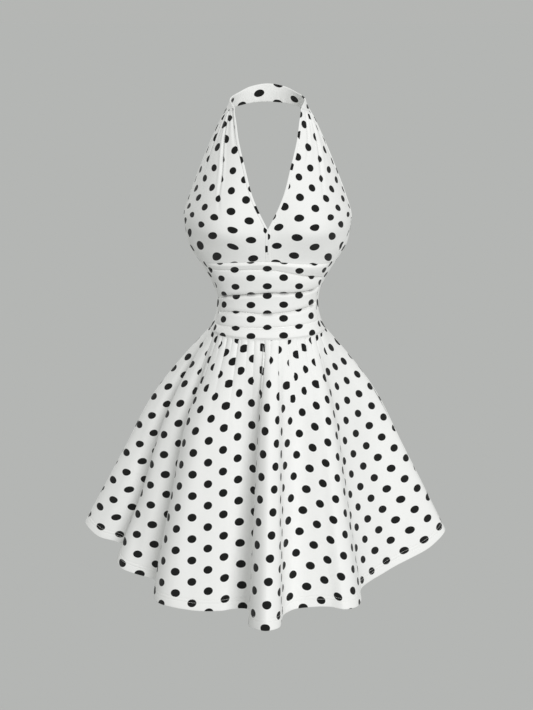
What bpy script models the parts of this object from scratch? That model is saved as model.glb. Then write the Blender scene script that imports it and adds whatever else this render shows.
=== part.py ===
"""Halter-neck mini dress in spotted stretch jersey: gathered cups on a neck band, a ruched midriff, a low back
and a flared skirt gathered at the waist, filled out as if worn.

Every piece of cloth is a thin closed wall of its own, swept over sections of a general figure. All sizes in the
tables are millimetres and degrees. The origin is the middle of the neck loop, +Z is up, the front faces -Y, and
angles go round the figure from the front (0) over +X (90) to the back (180).
"""
import math
from bisect import bisect_right

import bpy
from mathutils import Vector

MM = 0.001

# Driving dimensions
CLOTH = 1.6
SEAM_GAP = 0.3
WAIST_SEAM = -365.5
ARMHOLE_CORNER = -185.0
V_POINT = -188.0
SECTION_POWER = 2.2

# The figure, level by level: half its width, and how far it reaches to the front and to the back.
SECTION_COLUMNS = ("height", "half_width", "front", "back")
SECTIONS = (
    (-366, 92.5, 82, 80),
    (-349, 85.3, 75, 74),
    (-327, 81.5, 71, 72),
    (-306, 82.5, 73, 75),
    (-288, 88.6, 77, 80),
    (-266, 100.5, 83, 88),
    (-245, 114, 88, 94),
    (-228, 124, 93, 98),
    (-203, 129.5, 96, 101),
    (-182, 131, 96, 102),
    (-150, 122, 92, 99),
    (-110, 107, 84, 93),
    (-70, 90, 75, 83),
    (-39, 75.5, 67, 72),
    (-26, 69, 63.5, 67),
    (-16, 63, 61, 63),
    (0, 57, 58, 59),
    (20, 54, 55, 57),
)

# The fullness that each cup gives the front.
CUP_ANGLE = 33.0
CUP_HEIGHT = -190.0
CUP_DEPTH = 20.0
CUP_WIDTH_DEG = 26.0
CUP_FADE_UP = 65.0
CUP_FADE_DOWN = 30.0

# Neck band, from the seam on the strap round to the nape: its upper and its lower edge.
BAND_COLUMNS = ("share", "upper_angle", "upper_height", "lower_angle", "lower_height")
BAND = (
    (0.00, 52, -14, 80, -22),
    (0.15, 70, -7, 94, -22.5),
    (0.35, 95, -3, 115, -20),
    (0.60, 127, 3, 140, -16),
    (0.80, 153, 11.5, 160, -13),
    (1.00, 180, 15.5, 180, -12),
)

# Edges of a cup, from the strap's top down to the point of the neckline: the inner and the outer edge.
CUP_COLUMNS = ("down", "inner_angle", "inner_height", "outer_angle", "outer_height")
CUP_EDGES = (
    (0.00, 52, -14, 80, -22),
    (0.09, 42.5, -32, 84, -38),
    (0.20, 33.5, -61, 84.5, -68),
    (0.34, 23.5, -96, 84, -105),
    (0.52, 13.5, -139, 85.5, -150),
    (0.66, 6, -167, 85.5, -172),
    (0.76, 0, -188, 84, -185),
)
V_SHARE = 0.76

# Gathers and creases that run down a cup from the strap's top; side is +1 for the cup on +X. Each one's place is a
# share of the way from the inner to the outer edge, at its top and at its lower end.
STRAP_FOLD_COLUMNS = ("side", "share_top", "share_low", "half_width", "depth", "length")
STRAP_FOLDS = (
    (-1, 0.38, 0.37, 0.07, 2.0, 120),
    (-1, 0.68, 0.72, 0.09, 1.2, 55),
    (-1, 0.14, 0.12, 0.07, 1.0, 40),
    (1, 0.62, 0.42, 0.09, 1.6, 110),
    (1, 0.34, 0.26, 0.08, 1.2, 60),
    (1, 0.84, 0.76, 0.07, 1.0, 50),
)
STRAP_TOP = -18.0
STRAP_FOLD_START = 8.0
STRAP_FOLD_FADE = 0.7

# Side seam of the bodice, and the top edge of the low back.
SIDE_COLUMNS = ("height", "angle")
SIDE_SEAM = ((-366, 74), (-306, 70.5), (-250, 65), (-185, 84))
BACK_TOP_COLUMNS = ("angle", "height")
BACK_TOP = ((84, -185), (110, -207), (145, -230), (180, -238))

# Lines across the midriff, from the seam under the bust, over four ruching creases, to the waist seam: their
# heights at five angles, and how sharply they cut in on the left, in the middle and on the right.
LINE_ANGLES = (-75, -37, 0, 37, 75)
LINE_COLUMNS = ("down", "heights", "cut_left", "cut_middle", "cut_right")
MIDRIFF_LINES = (
    (0.00, (-254, -244, -240, -246, -252), 1.0, 1.0, 1.0),
    (0.14, (-262, -256, -253.5, -265, -279), 0.2, 0.5, 1.0),
    (0.44, (-309, -298, -292, -293, -291), 0.9, 1.0, 1.0),
    (0.69, (-333, -325, -326, -322, -316), 0.8, 0.8, 1.0),
    (0.86, (-352, -349, -347, -346, -345), 0.4, 0.5, 0.3),
    (1.00, (-365.5, -365.5, -365.5, -365.5, -365.5), 1.0, 1.0, 1.0),
)
ROLL = 3.0
ROLL_SQUARENESS = 8
CREASE_HALF_WIDTH = 4.5

# The skirt's flare between the waist seam and the hem, as shares of the whole drop and the whole reach.
FLARE = ((0.0, 0.0), (0.14, 0.20), (0.33, 0.43), (0.60, 0.66), (1.0, 1.0))

# Fold lines of the skirt, round from the side seam on -X over the front: the angle where each leaves the waist
# seam, and where it meets the hem. Crests reach far out, and valleys stay near the figure.
FOLD_COLUMNS = ("waist_angle", "across", "back", "drop")
FRONT_FOLDS = (
    (-92, -318, 70, 369),
    (-88, -294, 44, 383),
    (-84, -256, 29, 389),
    (-81, -238, 13, 394),
    (-79, -255, -3, 402),
    (-77, -248, -24, 410),
    (-74, -228, -38, 414),
    (-69, -187, -50, 420),
    (-66, -172, -64, 421),
    (-63, -183, -88, 425),
    (-60, -176, -116, 427),
    (-53, -153, -140, 424),
    (-44, -120, -154, 424),
    (-30, -74, -160, 422),
    (-14, -32, -162, 418),
    (-8, -22, -176, 417),
    (-5, -31, -207, 420),
    (-2, -22, -238, 411),
    (3, -3, -256, 406),
    (9, 18, -241, 409),
    (14, 25, -206, 414),
    (18, 32, -177, 420),
    (24, 53, -164, 418),
    (33, 76, -158, 416),
    (43, 100, -162, 414),
    (50, 120, -170, 414),
    (54, 138, -158, 417),
    (57, 150, -126, 422),
    (60, 154, -80, 422),
    (64, 174, -47, 423),
    (71, 205, -20, 419),
    (80, 246, 6, 409),
    (86, 282, 25, 393),
    (92, 308, 56, 377),
)
BACK_FOLDS = (
    (97, 297, 88, 380),
    (104, 262, 100, 398),
    (110, 222, 98, 416),
    (116, 196, 112, 422),
    (123, 204, 150, 423),
    (131, 198, 186, 414),
    (139, 168, 204, 413),
    (146, 136, 190, 423),
    (152, 108, 168, 428),
    (158, 88, 178, 426),
    (165, 82, 216, 418),
    (173, 58, 248, 411),
    (181, 22, 252, 413),
    (188, 0, 222, 421),
    (194, -24, 186, 427),
    (201, -52, 178, 427),
    (208, -78, 202, 421),
    (215, -108, 226, 413),
    (223, -142, 218, 412),
    (230, -160, 182, 422),
    (236, -172, 142, 427),
    (242, -198, 122, 424),
    (249, -238, 134, 405),
    (256, -282, 128, 387),
    (262, -308, 104, 375),
)

# Small gathers under the waist seam: how many on each half, their height as a share of their width, how unevenly
# they swell round the waist, how steeply they stand off the flare, and how they fade out down the skirt.
GATHERS = 17
GATHER_SHARE = 0.085
GATHER_MEAN = 0.8
GATHER_SWING = 0.3
GATHER_DRIFT = 1.9
GATHER_RISE = 0.85
GATHER_WIDTH_AT_WAIST = 16
GATHER_WIDTH_AT_HEM = 60
GATHER_FADE_IN = 0.012
GATHER_LENGTH = 0.19
GATHER_FADE_POWER = 1.5

# How finely each piece is divided. The rows of the skirt crowd together where it is gathered, those of a cup towards
# the strap, and those of the midriff beside each crease, in half widths of the crease.
SKIRT_STEPS_ROUND = 74
SKIRT_ROWS = (0, 0.02, 0.05, 0.09, 0.14, 0.20, 0.28, 0.38, 0.50, 0.62, 0.75, 0.88, 1)
CUP_STEPS_ACROSS = 15
CUP_STEPS_ABOVE_V = 16
CUP_STEPS_BELOW_V = 6
BACK_STEPS_ACROSS = 22
BACK_STEPS_BELOW_CUPS = 9
BAND_STEPS_DOWN = 4
BAND_STEPS_ROUND = 36
MIDRIFF_STEPS_ACROSS = 22
CREASE_STEPS = (-1.5, -0.65, 0.0, 0.65, 1.5)
CUP_ROW_CROWDING = 0.9

WHITE_JERSEY = (0.86, 0.87, 0.86, 1.0)
JERSEY_ROUGHNESS = 0.8
SHARP_EDGE_DEG = 50

# The step that tangents are read over, and the rounds in which a height and its seam's angle settle together.
STEP = 1e-4
SETTLE = 5


def column(rows, columns, name):
    place = columns.index(name)
    return [row[place] for row in rows]


def smooth(knots, values, x):
    """Cubic curve through the rows of a table, its slope at each row taken from the rows beside it."""
    last = len(knots) - 1
    i = min(max(bisect_right(knots, x) - 1, 0), last - 1)

    def secant(k):
        return (values[k + 1] - values[k]) / (knots[k + 1] - knots[k])

    def slope(k):
        if k == 0:
            return secant(0)
        if k == last:
            return secant(last - 1)
        before = knots[k] - knots[k - 1]
        after = knots[k + 1] - knots[k]
        return (secant(k - 1) * after + secant(k) * before) / (before + after)

    width = knots[i + 1] - knots[i]
    t = (x - knots[i]) / width
    start = (1 + 2 * t) * (1 - t) ** 2 * values[i] + t * (1 - t) ** 2 * width * slope(i)
    end = t * t * (3 - 2 * t) * values[i + 1] + t * t * (t - 1) * width * slope(i + 1)
    return start + end


def bump(distance, half_width):
    return math.exp(-((distance / half_width) ** 2))


def mix(a, b, share):
    return a + (b - a) * share


# The general figure

HEIGHTS = column(SECTIONS, SECTION_COLUMNS, "height")
HALF_WIDTHS = column(SECTIONS, SECTION_COLUMNS, "half_width")
FRONT_REACHES = column(SECTIONS, SECTION_COLUMNS, "front")
BACK_REACHES = column(SECTIONS, SECTION_COLUMNS, "back")


def cup_fullness(angle, height):
    fade = CUP_FADE_UP if height > CUP_HEIGHT else CUP_FADE_DOWN
    level = bump(height - CUP_HEIGHT, fade)
    around = sum(bump(angle - side * CUP_ANGLE, CUP_WIDTH_DEG) for side in (-1, 1))
    return CUP_DEPTH * level * around


def form_point(angle, height, lift=0.0):
    """Point of the figure at an angle and a height, moved out by lift."""
    half_width = smooth(HEIGHTS, HALF_WIDTHS, height)
    sine = math.sin(math.radians(angle))
    cosine = math.cos(math.radians(angle))
    depth = smooth(HEIGHTS, FRONT_REACHES if cosine > 0 else BACK_REACHES, height)
    across = abs(sine / half_width) ** SECTION_POWER
    along = abs(cosine / depth) ** SECTION_POWER
    reach = (across + along) ** (-1 / SECTION_POWER) + cup_fullness(angle, height) + lift
    return Vector((reach * sine, -reach * cosine, height))


# Surfaces of the pieces: each takes u across (towards larger angles) and v down, both from 0 to 1

def side_seam(height):
    return smooth(column(SIDE_SEAM, SIDE_COLUMNS, "height"), column(SIDE_SEAM, SIDE_COLUMNS, "angle"), height)


def line_height(line, angle):
    return smooth(LINE_ANGLES, line[LINE_COLUMNS.index("heights")], angle)


def band_edge(name, u):
    """A column of the band's table, read right round the neck from one strap to the other."""
    half = column(BAND, BAND_COLUMNS, name)
    turned = [360 - x for x in half] if name.endswith("angle") else half
    shares = column(BAND, BAND_COLUMNS, "share")
    places = [share / 2 for share in shares] + [1 - share / 2 for share in reversed(shares[:-1])]
    return smooth(places, half + turned[-2::-1], u)


def neck_band(u, v):
    angle = mix(band_edge("upper_angle", u), band_edge("lower_angle", u), v)
    height = mix(band_edge("upper_height", u), band_edge("lower_height", u), v)
    return form_point(angle, height)


def under_bust_corner(side):
    """Angle and height where the side seam meets the seam under the bust."""
    angle = side_seam(ARMHOLE_CORNER)
    for _ in range(SETTLE):
        height = line_height(MIDRIFF_LINES[0], side * angle)
        angle = side_seam(height)
    return angle, height


def strap_folds(side, share, height):
    """How far the gathers under the neck band sink the cloth, as a negative lift."""
    lift = 0.0
    distance = max(STRAP_TOP - height, 0.0)
    for row in STRAP_FOLDS:
        fold = dict(zip(STRAP_FOLD_COLUMNS, row))
        if fold["side"] != side:
            continue
        place = mix(fold["share_top"], fold["share_low"], min(distance / fold["length"], 1.0))
        strength = (1 - bump(distance, STRAP_FOLD_START)) * bump(distance, fold["length"] * STRAP_FOLD_FADE)
        lift -= fold["depth"] * strength * bump(share - place, fold["half_width"])
    return lift


def cup_at(side, share, v):
    """Angle and height on a cup, at a share of the way from its inner to its outer edge."""
    if v <= V_SHARE:
        shares = column(CUP_EDGES, CUP_COLUMNS, "down")
        inner_angle, inner_height, outer_angle, outer_height = (
            smooth(shares, column(CUP_EDGES, CUP_COLUMNS, name), v) for name in CUP_COLUMNS[1:])
        return mix(inner_angle, outer_angle, share), mix(inner_height, outer_height, share)
    below = (v - V_SHARE) / (1 - V_SHARE)
    corner_angle, corner_height = under_bust_corner(side)
    angle = share * side_seam(mix(ARMHOLE_CORNER, corner_height, below))
    bottom = line_height(MIDRIFF_LINES[0], side * share * corner_angle)
    return angle, mix(mix(V_POINT, ARMHOLE_CORNER, share), bottom, below)


def cup(side):
    def surface(u, v):
        share = u if side > 0 else 1 - u
        angle, height = cup_at(side, share, v)
        return form_point(side * angle, height, strap_folds(side, share, height))
    return surface


def midriff(u, v):
    downs = column(MIDRIFF_LINES, LINE_COLUMNS, "down")
    spread = 2 * u - 1
    angle = spread * side_seam(WAIST_SEAM)
    for _ in range(SETTLE):
        heights = [line_height(line, angle) for line in MIDRIFF_LINES]
        height = smooth(downs, heights, v)
        angle = spread * side_seam(height)
    lift = ROLL * (1 - abs(spread) ** ROLL_SQUARENESS)
    for line, crease_height in zip(MIDRIFF_LINES, heights):
        cuts = line[LINE_COLUMNS.index("cut_left"):]
        lift *= 1 - smooth((-1, 0, 1), cuts, spread) * bump(height - crease_height, CREASE_HALF_WIDTH)
    return form_point(angle, height, lift)


def bodice_back(u, v):
    angles = column(BACK_TOP, BACK_TOP_COLUMNS, "angle")
    tops = column(BACK_TOP, BACK_TOP_COLUMNS, "height")
    side_angle = side_seam(ARMHOLE_CORNER)
    for _ in range(SETTLE):
        angle = mix(side_angle, 360 - side_angle, u)
        top = smooth(angles, tops, max(180 - abs(angle - 180), angles[0]))
        height = mix(top, WAIST_SEAM, v)
        side_angle = side_seam(height)
    return form_point(angle, height)


# The skirt

FOLDS = FRONT_FOLDS + BACK_FOLDS


def fold_places():
    """Share of the hem's length at each fold line, all round, back to the first one."""
    across = column(FOLDS + FOLDS[:1], FOLD_COLUMNS, "across")
    back = column(FOLDS + FOLDS[:1], FOLD_COLUMNS, "back")
    points = [Vector(pair) for pair in zip(across, back)]
    places = [0.0]
    for a, b in zip(points, points[1:]):
        places.append(places[-1] + (b - a).length)
    return [place / places[-1] for place in places]


FOLD_PLACES = fold_places()
FRONT_SHARE = FOLD_PLACES[len(FRONT_FOLDS) - 1]


def fold_at(place):
    """Waist angle, across, back and drop of the skirt's line at a share of the way round the hem."""
    turn = math.floor(place)
    around = place - turn
    knots = [p - 1 for p in FOLD_PLACES[:-1]] + FOLD_PLACES[:-1] + [p + 1 for p in FOLD_PLACES]
    found = []
    for name in FOLD_COLUMNS:
        values = column(FOLDS, FOLD_COLUMNS, name)
        shift = 360 if name == "waist_angle" else 0
        cycle = [x - shift for x in values] + values + [x + shift for x in values] + [values[0] + 2 * shift]
        found.append(smooth(knots, cycle, around))
    return found


def skirt_point(place, down):
    waist_angle, across, back, drop = fold_at(place)
    waist = form_point(waist_angle, WAIST_SEAM)
    flare = smooth([row[0] for row in FLARE], [row[1] for row in FLARE], down)
    point = Vector((
        mix(waist.x, across, flare),
        mix(waist.y, back, flare),
        WAIST_SEAM - drop * down,
    ))
    around = place % 1
    if around <= FRONT_SHARE:
        phase = around / FRONT_SHARE * GATHERS
    else:
        phase = (around - FRONT_SHARE) / (1 - FRONT_SHARE) * GATHERS
    width = mix(GATHER_WIDTH_AT_WAIST, GATHER_WIDTH_AT_HEM, flare)
    fade = math.exp(-((max(down, 0) / GATHER_LENGTH) ** GATHER_FADE_POWER))
    swell = (1 - bump(down, GATHER_FADE_IN)) * fade
    height = GATHER_SHARE * width * swell * (GATHER_MEAN + GATHER_SWING * math.sin(GATHER_DRIFT * phase))
    outward = Vector((waist.x, waist.y, 0)).normalized() + Vector((0, 0, GATHER_RISE))
    return point + outward.normalized() * height * math.sin(2 * math.pi * phase)


def skirt_front(u, v):
    return skirt_point(FRONT_SHARE * u, v)


def skirt_back(u, v):
    return skirt_point(mix(FRONT_SHARE, 1, u), v)


# Closed cloth walls

def even(count):
    return [k / count for k in range(count + 1)]


def cup_rows():
    above = [V_SHARE * share ** CUP_ROW_CROWDING for share in even(CUP_STEPS_ABOVE_V)]
    below = [mix(V_SHARE, 1, share) for share in even(CUP_STEPS_BELOW_V)[1:]]
    return above + below


def back_rows():
    """Rows that meet the rows of the cups along the side seams, then even ones down to the waist."""
    corner_height = under_bust_corner(1)[1]
    level = (ARMHOLE_CORNER - corner_height) / (ARMHOLE_CORNER - WAIST_SEAM)
    beside_cups = [level * share for share in even(CUP_STEPS_BELOW_V)]
    return beside_cups + [mix(level, 1, share) for share in even(BACK_STEPS_BELOW_CUPS)[1:]]


def midriff_rows():
    """Rows close to each crease, and some between them."""
    downs = column(MIDRIFF_LINES, LINE_COLUMNS, "down")
    whole = line_height(MIDRIFF_LINES[0], 0) - WAIST_SEAM
    rows = {0.0, 1.0}
    for down in downs:
        for step in CREASE_STEPS:
            rows.add(round(down + step * CREASE_HALF_WIDTH / whole, 4))
    for a, b in zip(downs, downs[1:]):
        rows.add(round((a + b) / 2, 4))
    return sorted(row for row in rows if 0 <= row <= 1)


def tangents(surface, u, v):
    across = surface(u + STEP, v) - surface(u - STEP, v)
    down = surface(u, v + STEP) - surface(u, v - STEP)
    return across.normalized(), down.normalized()


def wall_points(surface, across, down, seams):
    """Outer and inner points of the wall, drawn back by half a seam gap along the sewn edges."""
    outer = []
    inner = []
    for v in down:
        for u in across:
            point = surface(u, v)
            along, below = tangents(surface, u, v)
            inward = along.cross(below).normalized()
            if u == across[0] and "start" in seams:
                point = point + along * SEAM_GAP / 2
            if u == across[-1] and "end" in seams:
                point = point - along * SEAM_GAP / 2
            if v == down[0] and "top" in seams:
                point = point + below * SEAM_GAP / 2
            if v == down[-1] and "bottom" in seams:
                point = point - below * SEAM_GAP / 2
            outer.append(point * MM)
            inner.append((point + inward * CLOTH) * MM)
    return outer, inner


def wall_faces(columns, rows):
    """Faces of a closed wall: the outer sheet, the inner sheet turned over, and the four edges. The edges are
    split the same way on every piece, so that two sewn edges lie parallel."""
    sheet = columns * rows

    def at(i, j):
        return j * columns + i

    faces = []
    for j in range(rows - 1):
        for i in range(columns - 1):
            quad = (at(i, j), at(i, j + 1), at(i + 1, j + 1), at(i + 1, j))
            faces.append(quad)
            faces.append(tuple(sheet + k for k in reversed(quad)))
    rim = [at(i, 0) for i in range(columns)]
    rim += [at(columns - 1, j) for j in range(1, rows)]
    rim += [at(i, rows - 1) for i in range(columns - 2, -1, -1)]
    rim += [at(0, j) for j in range(rows - 2, 0, -1)]
    for a, b in zip(rim, rim[1:] + rim[:1]):
        if a < b:
            faces += [(a, b, sheet + b), (a, sheet + b, sheet + a)]
        else:
            faces += [(a, b, sheet + a), (b, sheet + b, sheet + a)]
    return faces


def jersey(name):
    material = bpy.data.materials.new(name + "_jersey")
    material.use_nodes = True
    shader = material.node_tree.nodes["Principled BSDF"]
    shader.inputs["Base Color"].default_value = WHITE_JERSEY
    shader.inputs["Roughness"].default_value = JERSEY_ROUGHNESS
    shader.inputs["Metallic"].default_value = 0.0
    material.diffuse_color = WHITE_JERSEY
    return material


def cloth_piece(name, surface, across, down, seams, dress):
    """One cut piece of the dress as a closed wall, with its own material."""
    outer, inner = wall_points(surface, across, down, seams)
    mesh = bpy.data.meshes.new(name)
    mesh.from_pydata(outer + inner, [], wall_faces(len(across), len(down)))
    mesh.shade_smooth()
    mesh.set_sharp_from_angle(angle=math.radians(SHARP_EDGE_DEG))
    mesh.materials.append(jersey(name))
    piece = bpy.data.objects.new(name, mesh)
    piece.parent = dress
    bpy.context.scene.collection.objects.link(piece)
    return piece


def main():
    for old in list(bpy.data.objects):
        bpy.data.objects.remove(old, do_unlink=True)
    dress = bpy.data.objects.new("dress", None)
    bpy.context.scene.collection.objects.link(dress)
    cloth_piece("neck_band", neck_band, even(BAND_STEPS_ROUND), even(BAND_STEPS_DOWN), ("start", "end"), dress)
    for name, side in (("cup_left", 1), ("cup_right", -1)):
        cloth_piece(name, cup(side), even(CUP_STEPS_ACROSS), cup_rows(),
                    ("start", "end", "top", "bottom"), dress)
    cloth_piece("midriff_front", midriff, even(MIDRIFF_STEPS_ACROSS), midriff_rows(),
                ("start", "end", "top", "bottom"), dress)
    cloth_piece("bodice_back", bodice_back, even(BACK_STEPS_ACROSS), back_rows(),
                ("start", "end", "bottom"), dress)
    for name, surface in (("skirt_front", skirt_front), ("skirt_back", skirt_back)):
        cloth_piece(name, surface, even(SKIRT_STEPS_ROUND), SKIRT_ROWS, ("start", "end", "top"), dress)


main()
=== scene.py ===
# %% [markdown]
# # A halter-neck dress in spotted jersey
# The real dress is sewn from seven cut pieces of fine white stretch jersey with printed charcoal dots. The frame
# holds each piece as a plain closed wall. This lesson dresses the frame: every wall is replaced by a finer, thinner
# shell of the same form, with sharp gathers and creases, turned edges and stitching, and the print is laid on the flat
# cut of each piece, so that it follows the cloth and not the picture.

# %% Load the frame
import math

import bpy
import numpy as np
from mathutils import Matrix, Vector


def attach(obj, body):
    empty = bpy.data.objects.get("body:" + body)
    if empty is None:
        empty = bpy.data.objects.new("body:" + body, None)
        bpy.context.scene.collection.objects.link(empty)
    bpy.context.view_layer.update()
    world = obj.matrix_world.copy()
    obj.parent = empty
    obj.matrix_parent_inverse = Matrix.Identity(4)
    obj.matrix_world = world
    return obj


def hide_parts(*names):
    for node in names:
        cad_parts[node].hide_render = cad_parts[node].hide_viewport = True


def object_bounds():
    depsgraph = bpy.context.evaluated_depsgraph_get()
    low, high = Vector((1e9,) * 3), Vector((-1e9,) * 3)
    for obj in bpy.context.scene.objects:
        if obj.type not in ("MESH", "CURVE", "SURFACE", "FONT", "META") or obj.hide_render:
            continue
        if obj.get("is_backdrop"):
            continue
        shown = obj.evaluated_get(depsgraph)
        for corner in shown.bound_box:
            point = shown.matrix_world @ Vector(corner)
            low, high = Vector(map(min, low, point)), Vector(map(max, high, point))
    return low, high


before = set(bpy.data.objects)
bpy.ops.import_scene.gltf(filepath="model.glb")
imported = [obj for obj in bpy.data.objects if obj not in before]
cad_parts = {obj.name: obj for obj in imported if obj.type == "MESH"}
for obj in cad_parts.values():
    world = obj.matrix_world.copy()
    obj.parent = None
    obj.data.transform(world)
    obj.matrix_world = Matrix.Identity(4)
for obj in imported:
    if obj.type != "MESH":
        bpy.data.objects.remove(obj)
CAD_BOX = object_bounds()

MM = 0.001
print("frame nodes:", ", ".join(sorted(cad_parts)))

# %% [markdown]
# ## The camera
# The picture is taken from 2 m in front of the dress, a little above the neck, looking down by 15.7 degrees. That
# angle is what shows the hem as a deep curve and the skirt's front folds reaching below its sides. A 65 mm lens on a
# full-frame camera held upright gives the same framing.

# %% Camera
CAMERA_PLACE = (-0.0019, -2.0, 0.15)
LOOKS_DOWN_DEG = 15.7
FILM_HEIGHT_MM = 36.0
PICTURE_HEIGHT_PX = 710
FOCAL_LENGTH_PX = 1281

camera_data = bpy.data.cameras.new("camera")
camera_data.sensor_fit = "VERTICAL"
camera_data.sensor_height = FILM_HEIGHT_MM
camera_data.lens = FILM_HEIGHT_MM * FOCAL_LENGTH_PX / PICTURE_HEIGHT_PX
camera_data.clip_end = 2000.0
camera = bpy.data.objects.new("camera", camera_data)
camera.location = CAMERA_PLACE
camera.rotation_euler = (math.radians(90 - LOOKS_DOWN_DEG), 0, 0)
bpy.context.scene.collection.objects.link(camera)
bpy.context.scene.camera = camera
print(f"lens {camera_data.lens:.1f} mm")

# %% [markdown]
# ## Tables and smooth curves
# A sewing pattern is a handful of measured points joined by fair curves. The same idea serves here: short tables of
# sizes in millimetres, and one cubic curve that runs smoothly through the rows of a table.

# %% Tables and curves
def table(columns, *rows):
    """The rows of a table as one array for each named column."""
    return dict(zip(columns.split(), np.array(rows, float).T))


def smooth(knots, values, x):
    """Cubic curve through the rows of a table, its slope at each row taken from the rows beside it."""
    knots, values, x = (np.asarray(a, float) for a in (knots, values, x))
    gaps = np.diff(knots)
    secants = np.diff(values) / gaps
    inner = (secants[:-1] * gaps[1:] + secants[1:] * gaps[:-1]) / (gaps[:-1] + gaps[1:])
    slopes = np.concatenate([secants[:1], inner, secants[-1:]])
    i = np.clip(np.searchsorted(knots, x, side="right") - 1, 0, len(gaps) - 1)
    t = (x - knots[i]) / gaps[i]
    start = (1 + 2 * t) * (1 - t) ** 2 * values[i] + t * (1 - t) ** 2 * gaps[i] * slopes[i]
    end = t * t * (3 - 2 * t) * values[i + 1] + t * t * (t - 1) * gaps[i] * slopes[i + 1]
    return start + end


def mix(a, b, share):
    return a + (b - a) * share


def bump(distance, half_width):
    return np.exp(-((distance / half_width) ** 2))


def ease(x, low, high):
    """0 below low, 1 above high, and a soft step between them."""
    t = np.clip((x - low) / (high - low), 0, 1)
    return t * t * (3 - 2 * t)


print("a soft step at a quarter of its way:", ease(0.25, 0, 1))

# %% [markdown]
# ## The dress form
# Cloth takes its shape from its cut on a dress form. The form here is general: level by level, half its width and its
# reach to the front and the back, with one rounded section between them, and the fullness that two cups give. Angles
# go round from the front (0) over +X (90) to the back (180). The sizes are those of the frame's solids.

# %% The dress form
WAIST_SEAM = -365.5
SECTION_POWER = 2.2
FORM = table(
    "height half_width front back",
    (-366, 92.5, 82, 80),
    (-349, 85.3, 75, 74),
    (-327, 81.5, 71, 72),
    (-306, 82.5, 73, 75),
    (-288, 88.6, 77, 80),
    (-266, 100.5, 83, 88),
    (-245, 114, 88, 94),
    (-228, 124, 93, 98),
    (-203, 129.5, 96, 101),
    (-182, 131, 96, 102),
    (-150, 122, 92, 99),
    (-110, 107, 84, 93),
    (-70, 90, 75, 83),
    (-39, 75.5, 67, 72),
    (-26, 69, 63.5, 67),
    (-16, 63, 61, 63),
    (0, 57, 58, 59),
    (20, 54, 55, 57),
)
CUP_ANGLE = 33.0
CUP_HEIGHT = -190.0
CUP_DEPTH = 20.0
CUP_WIDTH_DEG = 26.0
CUP_FADE_UP = 65.0
CUP_FADE_DOWN = 30.0


def cup_fullness(angle, height):
    level = bump(height - CUP_HEIGHT, np.where(height > CUP_HEIGHT, CUP_FADE_UP, CUP_FADE_DOWN))
    around = sum(bump(angle - side * CUP_ANGLE, CUP_WIDTH_DEG) for side in (-1, 1))
    return CUP_DEPTH * level * around


def form_point(angle, height, lift=0.0):
    """Points of the dress form at angles and heights, moved out by lift."""
    angle, height = np.broadcast_arrays(np.asarray(angle, float), np.asarray(height, float))
    half_width, front, back = (
        smooth(FORM["height"], FORM[name], height) for name in ("half_width", "front", "back"))
    sine, cosine = np.sin(np.radians(angle)), np.cos(np.radians(angle))
    across = np.abs(sine / half_width) ** SECTION_POWER
    along = np.abs(cosine / np.where(cosine > 0, front, back)) ** SECTION_POWER
    reach = (across + along) ** (-1 / SECTION_POWER) + cup_fullness(angle, height) + lift
    return np.stack([reach * sine, -reach * cosine, height], axis=-1)


for level, at in (("bust", CUP_HEIGHT), ("waist", -327)):
    ring = form_point(np.arange(0, 361, 2), at)
    print(f"{level}: {np.linalg.norm(np.diff(ring, axis=0), axis=1).sum():.0f} mm round")

# %% [markdown]
# ## A piece of cloth as a grid
# Every piece is a grid of rows and columns: where each point is, and where it lies on the flat cut. The cloth is a
# thin shell, so the grid is copied inwards by the cloth's thickness and the two sheets are joined round a rounded
# rim. The flat cut is kept as the mesh's UV map, in metres, which lets one print fit every piece at its real scale.

# %% Cloth shells
CLOTH = 0.8
RIM_ROUNDNESS = 0.3
TINY = 1e-9


def lengths(points, axis):
    """Length along the grid's rows or columns up to each point, in millimetres."""
    steps = np.linalg.norm(np.diff(points, axis=axis), axis=-1)
    start = np.zeros_like(np.take(steps, [0], axis=axis))
    return np.concatenate([start, np.cumsum(steps, axis=axis)], axis=axis)


def outward(points):
    """Unit normals of a grid, on the side that its columns and rows turn to the outside."""
    along = np.gradient(points, axis=1)
    below = np.gradient(points, axis=0)
    normal = np.cross(below, along)
    return normal / np.maximum(np.linalg.norm(normal, axis=-1, keepdims=True), TINY)


def rim_of(rows, columns):
    """The indices round a grid's edge, in order."""
    top = [(0, i) for i in range(columns)]
    end = [(j, columns - 1) for j in range(1, rows)]
    bottom = [(rows - 1, i) for i in range(columns - 2, -1, -1)]
    start = [(j, 0) for j in range(rows - 2, 0, -1)]
    return np.array(top + end + bottom + start)


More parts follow.
